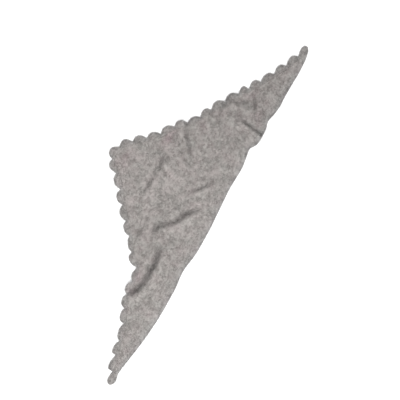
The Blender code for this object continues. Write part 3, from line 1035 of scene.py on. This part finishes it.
def roots_on_rim(rim, rng):
    """Roots of fibres that stand off a rim, in the same form."""
    edge, along = evenly(rim, 1 / RIM_FIBRES)
    out = -to_left(along)
    turn = np.arctan2(out[:, 1], out[:, 0]) + rng.normal(0.0, RIM_SPREAD, len(edge))
    edge = edge + out * rng.uniform(*RIM_OUT, len(edge))[:, None]
    spots = np.column_stack([edge, lift(edge) + rng.uniform(*RIM_HEIGHTS, len(edge))])
    return spots, np.tile((0.0, 0.0, 1.0), (len(edge), 1)), turn


def nap(name, piece, rim, count, length, seed):
    """Short bent fibres on a piece of knit, with some that stand off its rim."""
    rng = np.random.default_rng(seed)
    roots = zip(roots_on_knit(piece.data, count, seed, rng), roots_on_rim(rim, rng))
    spots, up, turn = (np.concatenate(pair) for pair in roots)
    plan = spots[:, :2]
    total = len(spots)
    run = lying(turn)
    run = unit(run - up * np.sum(run * up, axis=1)[:, None])
    side = np.cross(up, run)
    lengths = length / CM * rng.uniform(*FIBRE_LENGTHS, total)[:, None]
    width = FIBRE_RADIUS * rng.uniform(*FIBRE_WIDTHS, total)[:, None]
    bend = side * lengths * rng.normal(0.0, FIBRE_BOW, total)[:, None] + up * lengths * FIBRE_RISE
    axes = np.stack([side * width, up * width, run * lengths], axis=1)
    shape = spindle()
    data = stamped(name, shape, raised(plan, spots[:, 2]) + up * FIBRE_ROOT, axes, bend)

    drift = TONE_DRIFT * noise_of(plan, *TONE_SIZE, seed + TONE_SEED)
    tone = 0.5 + drift + rng.normal(0.0, TONE_SPREAD, total)
    to_rim = distance_to(plan, densely(rim))
    looks = {
        "tone": np.clip(tone, 0.0, 1.0),
        "shade": painted_shade_of(plan, to_rim + FIBRE_RIM),
        "warmth": warmth_of(to_rim),
        "blush": blush_of(plan),
    }
    for attribute, values in looks.items():
        put_attribute(data, attribute, np.repeat(values, len(shape[0])))
    return data


class SHAWL_OT_panel(bpy.types.Operator):
    """Knit the triangle panel"""

    bl_idname = "shawl.panel"
    bl_label = "Knit the panel"

    def execute(self, context):
        knit = context.scene.shawl_knit
        wool = knit_finish("panel_wool", knit)
        panel = knit_shell("body_panel", "knitted_panel", wool, knit)
        return {"FINISHED"}


class SHAWL_OT_edging(bpy.types.Operator):
    """Knit the scalloped edging and the leaf at each tip"""

    bl_idname = "shawl.edging"
    bl_label = "Knit the edging"

    def execute(self, context):
        knit = context.scene.shawl_knit
        for row in EDGINGS:
            wool = knit_finish(row.cloth + "_wool", knit, row.shade)
            piece = knit_shell(row.node, row.cloth, wool, knit)
        return {"FINISHED"}


class SHAWL_OT_stitches(bpy.types.Operator):
    """Work the cord of stitches on the scalloped rims and the stitches over the seams"""

    bl_idname = "shawl.stitches"
    bl_label = "Work the stitches"

    def execute(self, context):
        knit = context.scene.shawl_knit
        wool = knit_finish("stitch_wool", knit)
        for row in EDGINGS:
            carrier = bpy.data.objects[row.cloth]
            rim, joint = RIMS[row.node], SEAMS[row.node]
            cord = row_of_stitches(row.cloth + "_cord", rim, CORD_STEP, CORD_INSET, CORD_SIZE, CORD_LEAN)
            seam = row_of_stitches(row.cloth + "_seam", joint, SEAM_STEP, 0.0, SEAM_SIZE, SEAM_LEAN)
            for stitches in (cord, seam):
                new_piece(stitches.name, stitches, wool, carrier)
        return {"FINISHED"}


class SHAWL_OT_nap(bpy.types.Operator):
    """Brush up the loose fibres"""

    bl_idname = "shawl.nap"
    bl_label = "Brush up the nap"

    def execute(self, context):
        knit, loose = context.scene.shawl_knit, context.scene.shawl_nap
        wool = nap_finish("fibre_wool", knit)
        rows = [("body_panel", "knitted_panel", "panel_knit", loose.panel_fibres)]
        for row in EDGINGS:
            count = loose.edging_fibres if row.length > LONG_EDGING else loose.leaf_fibres
            rows.append((row.node, row.cloth, row.slot, count))
        for seed, (node, cloth, slot, count) in enumerate(rows):
            carrier = bpy.data.objects[cloth]
            data = nap(cloth + "_nap", carrier, RIMS[node], count, loose.fibre_length, seed)
            new_piece(data.name, data, wool, carrier)
        return {"FINISHED"}


class SHAWL_OT_stage(bpy.types.Operator):
    """Set the floor, the lights and the camera"""

    bl_idname = "shawl.stage"
    bl_label = "Set the stage"

    def execute(self, context):
        stage = context.scene.shawl_stage
        self.floor(stage)
        self.lights(context.scene, stage)
        self.camera(context.scene)
        return {"FINISHED"}

    def floor(self, stage):
        mesh = bmesh.new()
        bmesh.ops.create_grid(mesh, x_segments=1, y_segments=1, size=FLOOR_REACH)
        data = bpy.data.meshes.new("floor")
        mesh.to_mesh(data)
        mesh.free()
        finish = Finish("floor_paint")
        finish.shader.inputs["Base Color"].default_value = (*stage.floor_colour, 1.0)
        finish.shader.inputs["Roughness"].default_value = FLOOR_ROUGHNESS
        data.materials.append(finish.material)
        floor = bpy.data.objects.new("floor", data)
        bpy.context.scene.collection.objects.link(floor)

    def lights(self, scene, stage):
        world = bpy.data.worlds.new("studio")
        world.use_nodes = True
        background = world.node_tree.nodes["Background"]
        background.inputs["Color"].default_value = (1.0, 1.0, 1.0, 1.0)
        background.inputs["Strength"].default_value = stage.fill
        scene.world = world
        key = bpy.data.lights.new("key", "AREA")
        key.shape = "DISK"
        key.size = KEY_SIZE
        key.energy = stage.key_power
        lamp = bpy.data.objects.new("key", key)
        lamp.location = KEY_PLACE
        lamp.rotation_euler = (-KEY_PLACE).to_track_quat("-Z", "Y").to_euler()
        scene.collection.objects.link(lamp)
        scene.view_settings.view_transform = "Standard"

    def camera(self, scene):
        lens = bpy.data.cameras.new("camera")
        lens.lens = LENS
        lens.sensor_width = SENSOR
        camera = bpy.data.objects.new("camera", lens)
        scene.collection.objects.link(camera)
        target = place_of(FRAME_CENTRE, 0.0)
        camera.location = target + Vector((0.0, 0.0, FRAME_WIDTH * CM * LENS / SENSOR))
        camera.rotation_euler = (0.0, 0.0, -math.atan2(PHOTO_UP[0], PHOTO_UP[1]))
        scene.camera = camera


class SHAWL_PT_panel(bpy.types.Panel):
    """The steps that make the shawl, in order"""

    bl_label = "Triangle shawl"
    bl_idname = "SHAWL_PT_panel"
    bl_space_type = "VIEW_3D"
    bl_region_type = "UI"
    bl_category = "Shawl"

    def draw(self, context):
        layout = self.layout
        scene = context.scene
        for group in (scene.shawl_knit, scene.shawl_nap, scene.shawl_stage):
            box = layout.box()
            for name in type(group).__annotations__:
                box.prop(group, name)
        for operator in OPERATORS:
            layout.operator(operator.bl_idname)


GROUPS = {"shawl_knit": ShawlKnit, "shawl_nap": ShawlNap, "shawl_stage": ShawlStage}
OPERATORS = (SHAWL_OT_panel, SHAWL_OT_edging, SHAWL_OT_stitches, SHAWL_OT_nap, SHAWL_OT_stage)


def register():
    for group in GROUPS.values():
        bpy.utils.register_class(group)
    for operator in OPERATORS:
        bpy.utils.register_class(operator)
    bpy.utils.register_class(SHAWL_PT_panel)
    for name, group in GROUPS.items():
        setattr(bpy.types.Scene, name, PointerProperty(type=group))


def unregister():
    for name in GROUPS:
        delattr(bpy.types.Scene, name)
    bpy.utils.unregister_class(SHAWL_PT_panel)
    for operator in reversed(OPERATORS):
        bpy.utils.unregister_class(operator)
    for group in reversed(GROUPS.values()):
        bpy.utils.unregister_class(group)


def main():
    register()
    bpy.ops.shawl.panel()
    bpy.ops.shawl.edging()
    bpy.ops.shawl.stitches()
    bpy.ops.shawl.nap()
    bpy.ops.shawl.stage()


if __name__ == "__main__":
    main()
